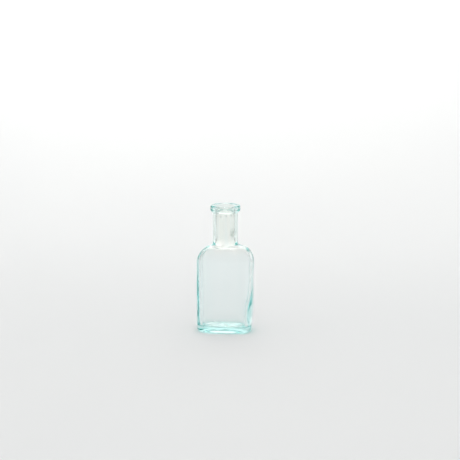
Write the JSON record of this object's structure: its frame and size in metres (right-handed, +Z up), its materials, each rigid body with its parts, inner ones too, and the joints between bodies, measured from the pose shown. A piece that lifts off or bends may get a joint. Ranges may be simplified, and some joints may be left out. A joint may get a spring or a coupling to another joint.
{
  "type": "glass bottle",
  "caption": "Small mould-blown bottle in clear aqua glass, its body a rounded rectangle, with rounded shoulders, a straight open neck and an applied ring lip for a cork.",
  "frame": {"origin": "centre of the foot's outline box, on the plane the bottle stands on", "axes": "+Z up along the neck, +X along the broad face, -Y out of the front face"},
  "size_m": [0.0352, 0.022, 0.08],
  "materials": {
    "aqua_glass": "clear mould-blown glass, pale aqua",
    "lip_glass": "clear fire-polished glass, pale aqua"
  },
  "bodies": {
    "root": {"blown_body": "aqua_glass", "lip_ring": "lip_glass"}
  },
  "joints": []
}
